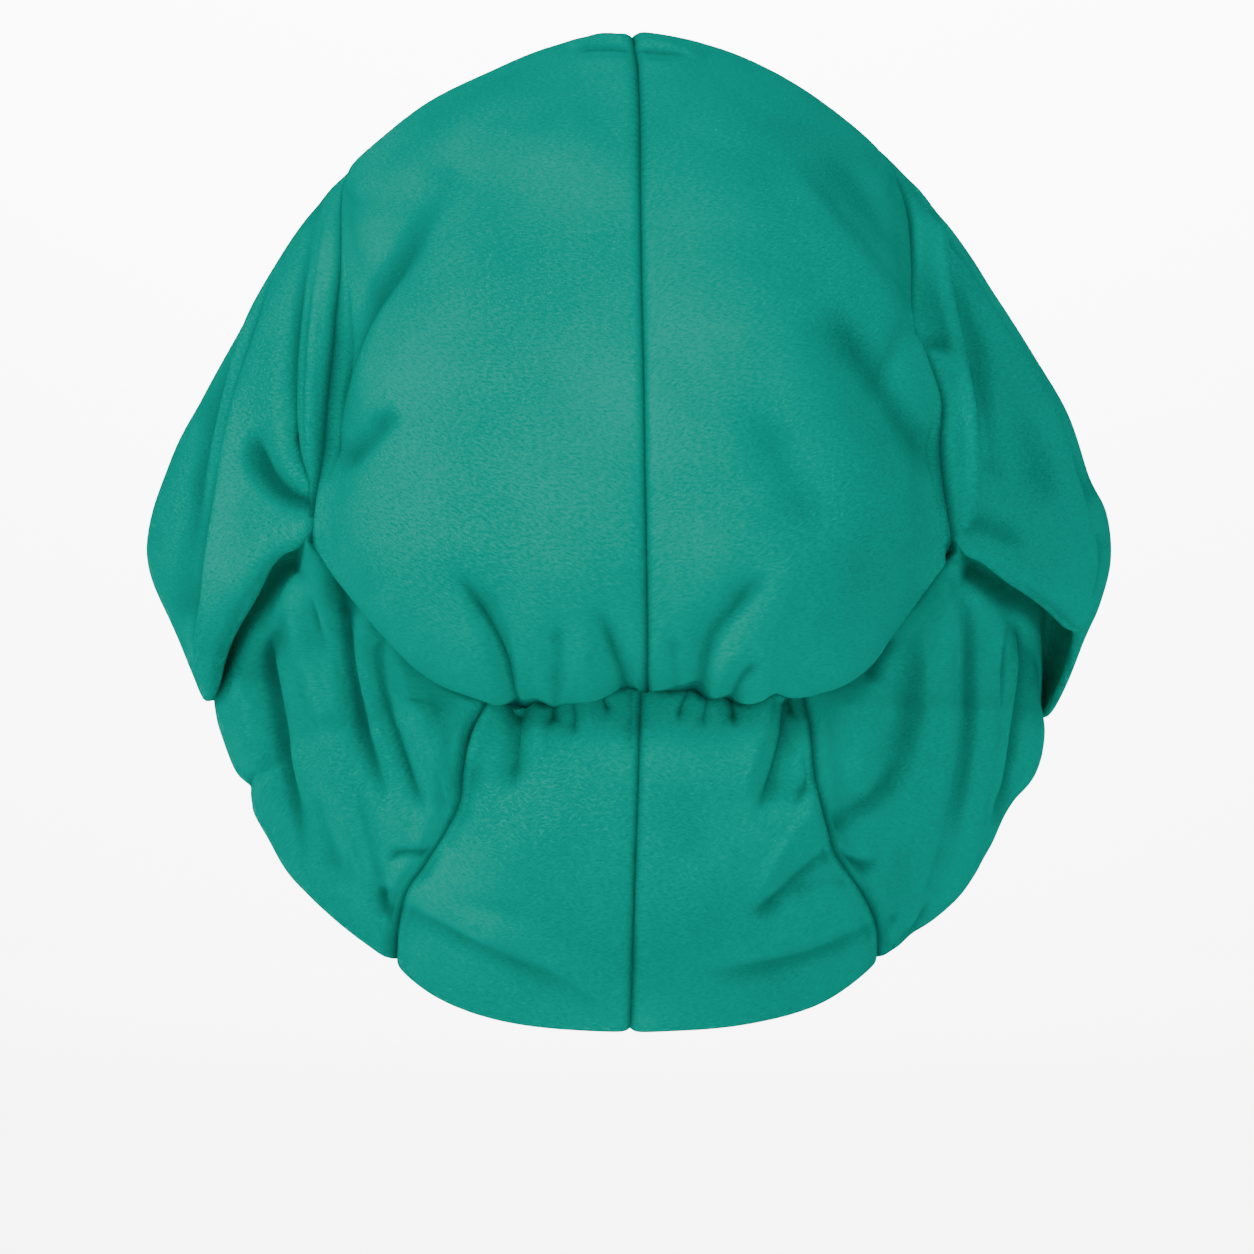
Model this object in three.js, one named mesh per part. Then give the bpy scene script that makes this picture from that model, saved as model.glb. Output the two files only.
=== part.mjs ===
// A soft surgical scrub cap in its worn shape: six cloth panels sewn edge to edge and open below for the head.
// Two back panels make a full pouch that is gathered onto two nape panels along an elastic line,
// and a side panel each side drapes in a deep fold, from the back seam round to the seam down the front.
// Millimetres. +X is the wearer's right, +Y the way the wearer faces and +Z up.
// The origin is the centre of the head opening, half way between the nape hem and the forehead hem.
import * as THREE from "three";

// Driving sizes. Heights are measured up from the lowest point of the nape hem.
const CAP_WIDTH = 243; // across the two side drapes at their widest
const CAP_HEIGHT = 250; // nape hem to crown
const BACK_REACH = 110; // crown to the back of the cap, without the pouch's swell
const FRONT_REACH = 125; // crown to the forehead at its fullest
const CROWN_SETBACK = 36; // the crown lies this far behind the centre of the head opening
const NAPE_SETBACK = 80; // the nape hem lies this far behind the centre of the head opening
const FOREHEAD_HEIGHT = 105; // height of the forehead hem
const ELASTIC_HEIGHT = 85.5; // height of the gathered line at the centre back
const ELASTIC_WIDTH = 79; // gathered line, corner to corner
const NAPE_HEM_WIDTH = 121; // nape hem, corner to corner
const PINCH_HEIGHT = 121; // height at which the side drape is caught in the back seam
const PINCH_WIDTH = 159; // across the two pinch points
const POUCH_SWELL = 11; // how far the pouch swells out of the plain cap form
const POUCH_PUFF = 3.5; // how far each half of the pouch puffs out between its seams
const POUCH_SAG = 4; // how far the pouch hangs below its own seam
const UNDER_TUCK = 8; // how far the seam under the pouch hides inside the pouch's edge
const DRAPE_LAP = 18; // how far the side drape hangs down over the lower side
const DRAPE_ROLL = 11; // height of the drape's rolled edge
const LOWER_INSET = 17; // the lower side lies this far inside the drape's widest point
const CAUGHT_LENGTH = 7; // the drape's rolled edge is caught in this much of the back seam
const FOLD_WIDTH = 8; // half the width of a middling fold
const FOLD_DEPTH = 4; // its depth
const CLOTH = 1.6; // thickness of the doubled cloth
const SEAM_GAP = 0.5; // between two panels at the seam that joins them

// Mesh fineness, in spans
const CROWN_ROWS = 12; // crown to the drape's edge
const UNDER_ROWS = 6; // pinch to the elastic's corner
const NAPE_ROWS = 7; // elastic to hem
const ELASTIC_SPANS = 7; // centre seam to the elastic's corner
const SIDE_SPANS = 22; // back seam to front seam

const LEFT = -1;
const RIGHT = 1;
const SIDE_NAME = { [LEFT]: "left", [RIGHT]: "right" };
const HALF_WIDTH = CAP_WIDTH / 2;
const FRONT_TURN = 180; // turns are degrees round the cap: 0 is the centre back, 90 the side

// Level sections of the full upper cap, from the crown down. Heights are shares of CAP_HEIGHT,
// half widths of HALF_WIDTH, and reaches to the back and front of BACK_REACH and FRONT_REACH.
const UPPER = {
  height: [1.0, 0.99, 0.968, 0.92, 0.848, 0.76, 0.66, 0.56, 0.48, 0.4, 0.32, 0.26],
  half: [0, 0.132, 0.272, 0.444, 0.6, 0.749, 0.864, 0.95, 1.0, 0.94, 0.872, 0.82],
  back: [0, 0.13, 0.27, 0.46, 0.64, 0.79, 0.91, 0.97, 0.98, 0.96, 0.94, 0.92],
  front: [0, 0.13, 0.26, 0.5, 0.7, 0.856, 0.95, 0.99, 0.99, 0.96, 0.92, 0.88],
};

// Level sections of the closer lower cap. Half widths are shares of HALF_WIDTH less LOWER_INSET, centres of
// CROWN_SETBACK, fronts of FRONT_REACH and backs of the last section's own, which ends at NAPE_SETBACK.
const LOWER = {
  height: [0.56, 0.44, 0.38, 0.32, 0.27, 0.22, 0.16, 0.11, 0.06, 0.0],
  half: [1.0, 1.0, 0.99, 0.985, 0.955, 0.9, 0.83, 0.765, 0.68, 0.58],
  back: [1.56, 1.54, 1.42, 1.32, 1.34, 1.35, 1.35, 1.28, 1.14, 1.0],
  front: [0.99, 0.96, 0.93, 0.89, 0.84, 0.77, 0.68, 0.62, 0.56, 0.5],
  centre: [1.0, 1.0, 0.98, 0.94, 0.87, 0.77, 0.63, 0.56, 0.48, 0.42],
};

// The seam from crown to pinch: how far round it lies, in degrees, at each section of the upper cap.
const BACK_SEAM = {
  left: [104, 104, 102, 97, 74, 53, 45, 41.5, 40],
  right: [104, 104, 102, 94, 66, 51, 46, 43, 41],
};

// The seam under the pouch from pinch to elastic: shares of the way in and down, and of UNDER_TUCK forward.
const UNDER_SEAM = {
  inward: [0, 0.16, 0.42, 0.7, 1.0],
  down: [0, 0.27, 0.56, 0.83, 1.0],
  forward: [0, 0.6, 1.0, 0.7, 0],
};

// The seam from the elastic's corner to the nape hem: shares of the way out, at even steps down.
const NAPE_SEAM = {
  left: [0, 0.2, 0.35, 0.52, 0.78, 0.96, 1.0],
  right: [0, 0.12, 0.22, 0.36, 0.66, 0.98, 1.0],
};

// What differs from left to right. Drops are shares of CAP_HEIGHT below the gathered line's centre, rises are
// shares of CAP_HEIGHT above the nape hem, and the rest are each side's share of the width named.
const EACH_SIDE = {
  left: { elasticDrop: 0.014, hemRise: 0.068, elastic: 0.445, napeHem: 0.487, pinch: 0.492 },
  right: { elasticDrop: 0.003, hemRise: 0.07, elastic: 0.555, napeHem: 0.513, pinch: 0.508 },
};

// The hem's rise from nape to forehead, as a share of FOREHEAD_HEIGHT, against the turn.
const HEM = {
  turn: [0, 30, 55, 75, 90, 120, 150, 180],
  rise: [0.0, 0.03, 0.17, 0.31, 0.4, 0.65, 0.9, 1.0],
};

// The drape's edge against the turn: its height as a share of PINCH_HEIGHT, and its share of DRAPE_LAP.
const DRAPE = {
  turn: [38, 50, 60, 72, 90, 105, 120, 150, 180],
  left: [1.0, 0.975, 0.91, 0.84, 0.72, 0.72, 0.78, 0.95, 1.06],
  right: [1.0, 0.985, 0.97, 0.93, 0.82, 0.76, 0.78, 0.95, 1.06],
  lap: [0, 0.5, 0.85, 1.0, 0.7, 0.35, 0, 0, 0],
};

// Rows across the drape's rolled edge: 1 lies on the upper cap and 0 on the lower.
// The others are shares of DRAPE_ROLL and of the lap.
const ROLL = {
  upper: [1.0, 0.96, 0.66, 0.4, 0.18, 0.02],
  rise: [0.6, 0.2, -0.1, -0.3, -0.45, -0.85],
  lap: [-0.4, -0.5, -0.52, 0.3, 0.5, 0.3],
};
const ROLL_ROWS = ROLL.upper.length - 1;
const ROLL_OPENS = 0.12; // share of the way to the front over which the roll opens out of the pinch

// Folds as they show from behind: start, bend and end as shares of HALF_WIDTH out and CAP_HEIGHT up,
// then width and depth as shares of FOLD_WIDTH and FOLD_DEPTH. A valley has a negative depth.
const FOLDS = {
  columns: ["x0", "z0", "x1", "z1", "x2", "z2", "width", "depth"],
  back_panel_left: [
    [0.4, 0.82, 0.5, 0.72, 0.57, 0.61, 1.1, -1.1],
    [0.36, 0.5, 0.28, 0.42, 0.23, 0.36, 1.0, -0.9],
    [0.05, 0.45, 0.03, 0.4, 0.01, 0.36, 0.9, -0.5],
  ],
  back_panel_right: [
    [0.3, 0.7, 0.45, 0.6, 0.62, 0.54, 1.1, -1.0],
    [0.27, 0.47, 0.19, 0.41, 0.14, 0.36, 1.0, -0.8],
    [0.26, 0.88, 0.44, 0.78, 0.58, 0.71, 0.9, 0.5],
  ],
  nape_panel_left: [
    [0.44, 0.15, 0.31, 0.11, 0.1, 0.04, 0.9, 0.6],
    [0.36, 0.25, 0.35, 0.21, 0.36, 0.18, 0.7, -0.8],
    [0.2, 0.31, 0.2, 0.24, 0.22, 0.2, 0.8, -0.5],
  ],
  nape_panel_right: [
    [0.5, 0.12, 0.34, 0.09, 0.14, 0.07, 0.9, 0.6],
    [0.28, 0.3, 0.26, 0.22, 0.25, 0.17, 0.8, -0.8],
    [0.4, 0.19, 0.31, 0.15, 0.25, 0.12, 0.8, -0.6],
  ],
  side_panel_left: [
    [0.76, 0.54, 0.7, 0.52, 0.65, 0.5, 0.8, -1.0],
    [0.62, 0.82, 0.78, 0.67, 0.87, 0.46, 1.3, 1.0],
    [0.7, 0.43, 0.7, 0.3, 0.68, 0.2, 1.0, -1.2],
    [0.65, 0.42, 0.58, 0.28, 0.5, 0.14, 1.0, 0.9],
    [0.57, 0.42, 0.54, 0.32, 0.49, 0.22, 0.9, -1.0],
    [0.79, 0.38, 0.76, 0.27, 0.74, 0.2, 1.0, 0.8],
  ],
  side_panel_right: [
    [0.79, 0.54, 0.72, 0.51, 0.66, 0.5, 0.8, -0.9],
    [0.64, 0.78, 0.8, 0.65, 0.91, 0.47, 1.3, 1.0],
    [0.84, 0.4, 0.82, 0.3, 0.72, 0.18, 1.0, 1.0],
    [0.76, 0.42, 0.75, 0.3, 0.68, 0.2, 1.0, -1.1],
    [0.68, 0.42, 0.64, 0.28, 0.57, 0.16, 1.0, 0.8],
    [0.6, 0.36, 0.55, 0.27, 0.46, 0.21, 0.9, -0.8],
  ],
};
const FOLD_ENDS = { from: 100, to: 120 }; // the folds seen from behind die out between these turns

const lerp = THREE.MathUtils.lerp;
const degrees = THREE.MathUtils.radToDeg;
const radians = THREE.MathUtils.degToRad;
const ease = (t) => THREE.MathUtils.smoothstep(t, 0, 1);

// A smooth curve through a table's column, read at a place counted in entries.
function along(column, place) {
  const last = column.length - 1;
  const i = Math.min(last - 1, Math.max(0, Math.floor(place)));
  const before = i > 0 ? column[i - 1] : 2 * column[0] - column[1];
  const after = i + 2 <= last ? column[i + 2] : 2 * column[last] - column[last - 1];
  const [from, to] = [column[i], column[i + 1]];
  const t = place - i;
  const bend = 2 * before - 5 * from + 4 * to - after;
  const twist = 3 * from - before - 3 * to + after;
  return from + 0.5 * ((to - before) * t + bend * t ** 2 + twist * t ** 3);
}

// The place at which a steadily rising or falling column has this value.
function placeOf(column, value) {
  const falling = column[0] > column.at(-1);
  let low = 0;
  let high = column.length - 1;
  for (let step = 0; step < 32; step++) {
    const middle = (low + high) / 2;
    if (along(column, middle) > value === falling) low = middle;
    else high = middle;
  }
  return (low + high) / 2;
}

function upperSection(place) {
  return {
    height: along(UPPER.height, place) * CAP_HEIGHT,
    half: along(UPPER.half, place) * HALF_WIDTH,
    back: along(UPPER.back, place) * BACK_REACH,
    front: along(UPPER.front, place) * FRONT_REACH,
    centre: CROWN_SETBACK,
  };
}

const upperPlace = (height) => placeOf(UPPER.height, height / CAP_HEIGHT);

function lowerSection(height) {
  const place = placeOf(LOWER.height, height / CAP_HEIGHT);
  const napeReach = NAPE_SETBACK - LOWER.centre.at(-1) * CROWN_SETBACK;
  return {
    height,
    half: along(LOWER.half, place) * (HALF_WIDTH - LOWER_INSET),
    back: along(LOWER.back, place) * napeReach,
    front: along(LOWER.front, place) * FRONT_REACH,
    centre: along(LOWER.centre, place) * CROWN_SETBACK,
  };
}

function sectionPoint(section, turn, side) {
  const reach = turn < 90 ? section.back : section.front;
  return new THREE.Vector3(
    turn === 0 || turn === FRONT_TURN ? 0 : side * section.half * Math.sin(radians(turn)),
    -section.centre - reach * Math.cos(radians(turn)),
    section.height,
  );
}

// The turn, on the back of a section, of a point this far out from the middle.
const turnOf = (section, out) => degrees(Math.asin(Math.min(1, Math.abs(out) / section.half)));

// The seam from crown (0) to pinch (1), which the back and side panels share.
function backSeam(share, side) {
  const pinchPlace = upperPlace(PINCH_HEIGHT);
  const pinchOut = PINCH_WIDTH * EACH_SIDE[SIDE_NAME[side]].pinch;
  const table = BACK_SEAM[SIDE_NAME[side]];
  const lastTurn = turnOf(upperSection(pinchPlace), pinchOut);
  const drawn = along(table, share * (table.length - 1));
  const turn = drawn + (lastTurn - table.at(-1)) * share ** 2;
  return { turn, point: sectionPoint(upperSection(share * pinchPlace), turn, side) };
}

// The gathered line from the centre back (0) to its corner (1), shared by the back and nape panels.
function elastic(share, side) {
  const own = EACH_SIDE[SIDE_NAME[side]];
  const section = lowerSection(ELASTIC_HEIGHT - own.elasticDrop * CAP_HEIGHT * share ** 2);
  return sectionPoint(section, turnOf(section, ELASTIC_WIDTH * own.elastic * share), side);
}

// The seam under the pouch from pinch (0) to the elastic's corner (1), shared by the back and side panels.
function underSeam(share, side) {
  const pinch = backSeam(1, side).point;
  const corner = elastic(1, side);
  const place = share * (UNDER_SEAM.inward.length - 1);
  return new THREE.Vector3(
    lerp(pinch.x, corner.x, along(UNDER_SEAM.inward, place)),
    lerp(pinch.y, corner.y, share) + UNDER_TUCK * along(UNDER_SEAM.forward, place),
    lerp(pinch.z, corner.z, along(UNDER_SEAM.down, place)),
  );
}

// The seam from the elastic's corner (0) to the nape hem (1), shared by the nape and side panels.
function napeSeam(share, side) {
  const own = EACH_SIDE[SIDE_NAME[side]];
  const corner = elastic(1, side);
  const table = NAPE_SEAM[SIDE_NAME[side]];
  const section = lowerSection(lerp(corner.z, own.hemRise * CAP_HEIGHT, share));
  const out = lerp(Math.abs(corner.x), NAPE_HEM_WIDTH * own.napeHem, along(table, share * (table.length - 1)));
  return sectionPoint(section, turnOf(section, out), side);
}

// How far down the back seam each row of a back or side panel meets it. The last rows are caught close together.
function rowShare(row) {
  const caught = 1 - upperPlace(PINCH_HEIGHT + CAUGHT_LENGTH) / upperPlace(PINCH_HEIGHT);
  if (row <= CROWN_ROWS) return (1 - caught) * (row / CROWN_ROWS);
  return 1 - caught * (1 - (row - CROWN_ROWS) / ROLL_ROWS);
}

// The back panel: rows from the crown to the gathered edge, columns from the side seam to the centre seam.
// Its plain form carries on down the cap's back and then curls under to the seam below it.
function backPanel(side) {
  const pinch = backSeam(1, side).point;
  const rows = CROWN_ROWS + ROLL_ROWS;
  const columns = UNDER_ROWS + ELASTIC_SPANS;
  const lowerEdge = (column) =>
    column <= UNDER_ROWS
      ? underSeam(column / UNDER_ROWS, side)
      : elastic((columns - column) / ELASTIC_SPANS, side);
  const fullForm = (row, column) => {
    const seam = backSeam(rowShare(row), side);
    const down = (CAP_HEIGHT - seam.point.z) / (CAP_HEIGHT - pinch.z);
    const across = 1 - lowerEdge(column).x / pinch.x;
    const lowest = lerp(pinch.z, lowerEdge(column).z, ease(across * 3)) - POUCH_SAG * ease(across * 4);
    const height = lerp(CAP_HEIGHT, across === 0 ? pinch.z : lowest, down);
    const turn = seam.turn * (1 - across);
    const swell = POUCH_SWELL * Math.sin(across * Math.PI / 2) + POUCH_PUFF * Math.sin(across * Math.PI);
    const point = sectionPoint(upperSection(upperPlace(height)), turn, side);
    const outward = new THREE.Vector3(point.x, point.y + CROWN_SETBACK, 0).normalize();
    return { down, point: point.addScaledVector(outward, swell * ease(down * 1.4)) };
  };
  return makeGrid(rows, columns, (row, column) => {
    if (row === 0) return sectionPoint(upperSection(0), 0, side);
    if (row === rows) return lowerEdge(column);
    if (column === 0) return backSeam(rowShare(row), side).point;
    const { down, point } = fullForm(row, column);
    const curl = lowerEdge(column).sub(fullForm(rows, column).point);
    return point.addScaledVector(curl, 1 - Math.sqrt(1 - down ** 8));
  });
}

// The nape panel: rows from the gathered line to the hem, columns from the centre seam to the side seam.
function napePanel(side) {
  const cornerRise = EACH_SIDE[SIDE_NAME[side]].hemRise * CAP_HEIGHT;
  return makeGrid(NAPE_ROWS, ELASTIC_SPANS, (row, column) => {
    const [down, across] = [row / NAPE_ROWS, column / ELASTIC_SPANS];
    if (row === 0) return elastic(across, side);
    if (column === ELASTIC_SPANS) return napeSeam(down, side);
    const hem = cornerRise * lerp(across ** 2, across ** 6, 0.5);
    const section = lowerSection(lerp(elastic(across, side).z, hem, down));
    return sectionPoint(section, turnOf(section, napeSeam(down, side).x * across), side);
  });
}

// The side panel: rows from the crown over the drape's rolled edge and down to the hem,
// columns from the back seam round to the front seam, closer together where the back shows them.
function sidePanel(side) {
  const name = SIDE_NAME[side];
  const pinch = backSeam(1, side);
  const rollEnd = CROWN_ROWS + ROLL_ROWS;
  const rows = rollEnd + UNDER_ROWS + NAPE_ROWS;
  const seamPoint = (row) => {
    if (row <= rollEnd) return backSeam(rowShare(row), side).point;
    if (row <= rollEnd + UNDER_ROWS) return underSeam((row - rollEnd) / UNDER_ROWS, side);
    return napeSeam((row - rollEnd - UNDER_ROWS) / NAPE_ROWS, side);
  };
  const lowerTurn = (row) => turnOf(lowerSection(seamPoint(row).z), seamPoint(row).x);
  const toFront = (turn, around) => (around === 1 ? FRONT_TURN : lerp(turn, FRONT_TURN, around));

  const rollPoint = (row, around) => {
    const k = row - CROWN_ROWS;
    const place = placeOf(DRAPE.turn, toFront(pinch.turn, around));
    const edge = along(DRAPE[name], place) * PINCH_HEIGHT;
    const lap = Math.max(0, along(DRAPE.lap, place)) * DRAPE_LAP;
    const open = ease(around / ROLL_OPENS);
    const height = lerp(seamPoint(row).z, edge + ROLL.rise[k] * DRAPE_ROLL + ROLL.lap[k] * lap, open);
    const upper = sectionPoint(upperSection(upperPlace(height)), toFront(pinch.turn, around), side);
    const lower = sectionPoint(lowerSection(height), toFront(lowerTurn(rollEnd), around), side);
    return lower.lerp(upper, lerp(1, ROLL.upper[k], open));
  };
  const upperPoint = (row, around) => {
    const seam = backSeam(rowShare(row), side);
    const down = (CAP_HEIGHT - seam.point.z) / (CAP_HEIGHT - seamPoint(CROWN_ROWS).z);
    const height = lerp(CAP_HEIGHT, rollPoint(CROWN_ROWS, around).z, down);
    return sectionPoint(upperSection(upperPlace(height)), toFront(seam.turn, around), side);
  };
  const lowerPoint = (row, around) => {
    const even = (row - rollEnd) / (rows - rollEnd);
    const own = (pinch.point.z - seamPoint(row).z) / (pinch.point.z - seamPoint(rows).z);
    const turn = toFront(lowerTurn(row), around);
    const hemTurn = toFront(lowerTurn(rows), around);
    const hemShare = along(HEM.rise, placeOf(HEM.turn, hemTurn));
    const hemStart = along(HEM.rise, placeOf(HEM.turn, lowerTurn(rows)));
    const hem = lerp(seamPoint(rows).z, FOREHEAD_HEIGHT, (hemShare - hemStart) / (1 - hemStart));
    const height = lerp(rollPoint(rollEnd, around).z, hem, lerp(own, even, around));
    return sectionPoint(lowerSection(height), turn, side);
  };
  return makeGrid(rows, SIDE_SPANS, (row, column) => {
    const around = (column / SIDE_SPANS) ** 1.5;
    if (row === 0) return sectionPoint(upperSection(0), 0, side);
    if (column === 0) return seamPoint(row);
    if (row <= CROWN_ROWS) return upperPoint(row, around);
    if (row <= rollEnd) return rollPoint(row, around);
    const toSeam = seamPoint(row).sub(lowerPoint(row, 0));
    return lowerPoint(row, around).addScaledVector(toSeam, (1 - around) ** 3);
  });
}

function makeGrid(rows, columns, pointAt) {
  return Array.from({ length: rows + 1 }, (_, row) =>
    Array.from({ length: columns + 1 }, (_, column) => pointAt(row, column)),
  );
}

// How far a point moves out for the folds of its panel.
function foldLift(name, point) {
  const turn = degrees(Math.atan2(Math.abs(point.x), -(point.y + CROWN_SETBACK)));
  const fade = 1 - THREE.MathUtils.smoothstep(turn, FOLD_ENDS.from, FOLD_ENDS.to);
  const here = new THREE.Vector2(Math.abs(point.x), point.z);
  let lift = 0;
  for (const row of FOLDS[name]) {
    const fold = Object.fromEntries(FOLDS.columns.map((column, i) => [column, row[i]]));
    const line = new THREE.QuadraticBezierCurve(
      new THREE.Vector2(fold.x0 * HALF_WIDTH, fold.z0 * CAP_HEIGHT),
      new THREE.Vector2(fold.x1 * HALF_WIDTH, fold.z1 * CAP_HEIGHT),
      new THREE.Vector2(fold.x2 * HALF_WIDTH, fold.z2 * CAP_HEIGHT),
    );
    const distance = Math.min(...line.getPoints(10).map((spot) => spot.distanceTo(here)));
    lift += fold.depth * FOLD_DEPTH * Math.exp(-((distance / (fold.width * FOLD_WIDTH)) ** 2));
  }
  return lift * fade;
}

// The way a grid faces at a point, from its neighbours. Row 0 may be one point.
function facing(grid, row, column) {
  const rows = grid.length - 1;
  const columns = grid[0].length - 1;
  const at = (r, c) => grid[Math.min(rows, Math.max(0, r))][Math.min(columns, Math.max(0, c))];
  const near = row === 0 && at(0, 0).distanceTo(at(0, 1)) === 0 ? 1 : row;
  const across = at(near, column + 1).clone().sub(at(near, column - 1));
  const down = at(row + 1, column).clone().sub(at(row - 1, column));
  return down.cross(across).normalize();
}

const spot = (point) => point.toArray().map((n) => Math.round(n * 1e3)).join();

// A closed cloth wall from a grid of points on its outer face. Its sewn edges draw back by half the seam gap,
// and there the wall follows the way that all the panels on that seam face together.
function clothWall(grid, turned, sewn) {
  const rows = grid.length - 1;
  const columns = grid[0].length - 1;
  const onEdge = (row, column) => row === 0 || row === rows || column === 0 || column === columns;
  const positions = [];
  const ids = new Map();
  const put = (name, point) => {
    ids.set(name, positions.length / 3);
    positions.push(point.x, point.y, point.z - FOREHEAD_HEIGHT / 2);
  };
  const name = (row, column, face) => (spot(grid[0][0]) === spot(grid[0][1]) && row === 0 ? `tip ${face}`
    : `${row} ${column} ${face}`);
  for (let row = 0; row <= rows; row++) {
    for (let column = 0; column <= columns; column++) {
      if (ids.has(name(row, column, "out"))) continue;
      const point = grid[row][column].clone();
      const out = facing(grid, row, column).multiplyScalar(turned);
      if (onEdge(row, column)) {
        out.copy(sewn.get(spot(point))).normalize();
        const inRow = Math.min(rows - 1, Math.max(1, row));
        const inColumn = row === 0 ? Math.round(columns / 2) : Math.min(columns - 1, Math.max(1, column));
        const inward = grid[inRow][inColumn].clone().sub(point);
        const corner = inRow !== row && (inColumn !== column || row === 0);
        if (!corner && inRow === row) inward.projectOnPlane(grid[row + 1][column].clone().sub(grid[row - 1][column]).normalize());
        if (!corner && inRow !== row) inward.projectOnPlane(grid[row][column + 1].clone().sub(grid[row][column - 1]).normalize());
        point.addScaledVector(inward.normalize(), corner ? SEAM_GAP * 0.8 : SEAM_GAP / 2);
      }
      put(name(row, column, "out"), point);
      put(name(row, column, "in"), point.clone().addScaledVector(out, -CLOTH));
    }
  }
  const index = [];
  const quad = (corners) => {
    const [a, b, c, d] = corners.map(([row, column, face]) => ids.get(name(row, column, face)));
    for (const face of [[a, b, c], [a, c, d]]) {
      if (new Set(face).size === 3) index.push(...(turned > 0 ? face : face.reverse()));
    }
  };
  for (let row = 0; row < rows; row++) {
    for (let column = 0; column < columns; column++) {
      const [below, beside] = [row + 1, column + 1];
      quad([[row, column, "out"], [below, column, "out"], [below, beside, "out"], [row, beside, "out"]]);
      quad([[row, column, "in"], [row, beside, "in"], [below, beside, "in"], [below, column, "in"]]);
    }
  }
  const border = [];
  for (let row = 0; row < rows; row++) border.push([row, 0]);
  for (let column = 0; column < columns; column++) border.push([rows, column]);
  for (let row = rows; row > 0; row--) border.push([row, columns]);
  for (let column = columns; column > 0; column--) border.push([0, column]);
  border.forEach(([row, column], i) => {
    const [nextRow, nextColumn] = border[(i + 1) % border.length];
    quad([[row, column, "in"], [nextRow, nextColumn, "in"], [nextRow, nextColumn, "out"], [row, column, "out"]]);
  });
  const geometry = new THREE.BufferGeometry();
  geometry.setAttribute("position", new THREE.Float32BufferAttribute(positions, 3));
  geometry.setIndex(index);
  geometry.computeVertexNormals();
  return geometry;
}

const panels = [
  ["back_panel_left", backPanel(LEFT)],
  ["back_panel_right", backPanel(RIGHT)],
  ["nape_panel_left", napePanel(LEFT)],
  ["nape_panel_right", napePanel(RIGHT)],
  ["side_panel_left", sidePanel(LEFT)],
  ["side_panel_right", sidePanel(RIGHT)],
].map(([name, grid]) => {
  const [row, column] = [Math.round(grid.length / 3), Math.round(grid[0].length / 2)];
  const middle = new THREE.Vector3(0, -CROWN_SETBACK, CAP_HEIGHT / 2);
  const away = grid[row][column].clone().sub(middle);
  return { name, grid, turned: Math.sign(facing(grid, row, column).dot(away)) };
});

// Folds go in first, away from the edges, and then the panels share how they face along their seams.
const sewn = new Map();
for (const { name, grid, turned } of panels) {
  const rows = grid.length - 1;
  const columns = grid[0].length - 1;
  const flat = grid.map((line) => line.map((point) => point.clone()));
  for (let row = 1; row < rows; row++) {
    for (let column = 1; column < columns; column++) {
      const lift = foldLift(name, flat[row][column]) * Math.min(1, Math.min(row, rows - row, column, columns - column) / 2);
      grid[row][column].addScaledVector(facing(flat, row, column), turned * lift);
    }
  }
  for (let row = 0; row <= rows; row++) {
    for (let column = 0; column <= columns; column++) {
      if (row > 0 && row < rows && column > 0 && column < columns) continue;
      const key = spot(grid[row][column]);
      if (!sewn.has(key)) sewn.set(key, new THREE.Vector3());
      sewn.get(key).addScaledVector(facing(grid, row, column), turned);
    }
  }
}

const cap = new THREE.Group();
cap.name = "scrub_cap";
for (const { name, grid, turned } of panels) {
  const cloth = new THREE.MeshStandardMaterial({ color: 0x00a088, roughness: 0.9, metalness: 0 });
  const panel = new THREE.Mesh(clothWall(grid, turned, sewn), cloth);
  panel.name = name;
  cap.add(panel);
}
export default cap;
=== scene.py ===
import math

import bpy
import numpy as np
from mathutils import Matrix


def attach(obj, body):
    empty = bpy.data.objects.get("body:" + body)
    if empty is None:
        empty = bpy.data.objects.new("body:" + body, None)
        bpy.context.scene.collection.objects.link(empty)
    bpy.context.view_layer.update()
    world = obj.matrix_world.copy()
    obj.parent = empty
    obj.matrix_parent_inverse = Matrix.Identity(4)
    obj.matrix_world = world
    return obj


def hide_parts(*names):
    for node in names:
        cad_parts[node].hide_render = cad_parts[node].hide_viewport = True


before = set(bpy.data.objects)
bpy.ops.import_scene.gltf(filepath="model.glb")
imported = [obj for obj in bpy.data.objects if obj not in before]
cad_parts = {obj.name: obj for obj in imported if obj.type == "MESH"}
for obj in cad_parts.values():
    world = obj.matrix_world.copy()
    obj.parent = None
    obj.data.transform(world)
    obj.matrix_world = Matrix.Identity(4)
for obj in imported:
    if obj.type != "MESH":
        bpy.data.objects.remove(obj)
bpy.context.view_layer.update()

# The camera: straight behind the cap, a little above the gathered line, with a long lens.
# The photograph's frame is 313.5 mm wide and high at the cap, so four of its pixels make a millimetre.
PIXELS_PER_MM = 4.0
FRAME_PIXELS = 1254
CENTRE_COLUMN = 630  # the pixel column of the cap's middle
NAPE_HEM_ROW = 1030  # the pixel row of the nape hem, from which heights are measured up
OPENING_HEIGHT = 52.5  # of the origin, at the middle of the head opening, above the nape hem
FRAME_WIDTH = FRAME_PIXELS / PIXELS_PER_MM / 1000
FRAME_PLACE = -0.07  # where the frame is that wide, at the back of the cap
CAMERA_DISTANCE = 3.2  # from there
SENSOR_WIDTH = 36.0
camera_data = bpy.data.cameras.new("back_view")
camera_data.sensor_width = SENSOR_WIDTH
camera_data.lens = SENSOR_WIDTH * CAMERA_DISTANCE / FRAME_WIDTH
camera = bpy.data.objects.new("back_view", camera_data)
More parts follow.
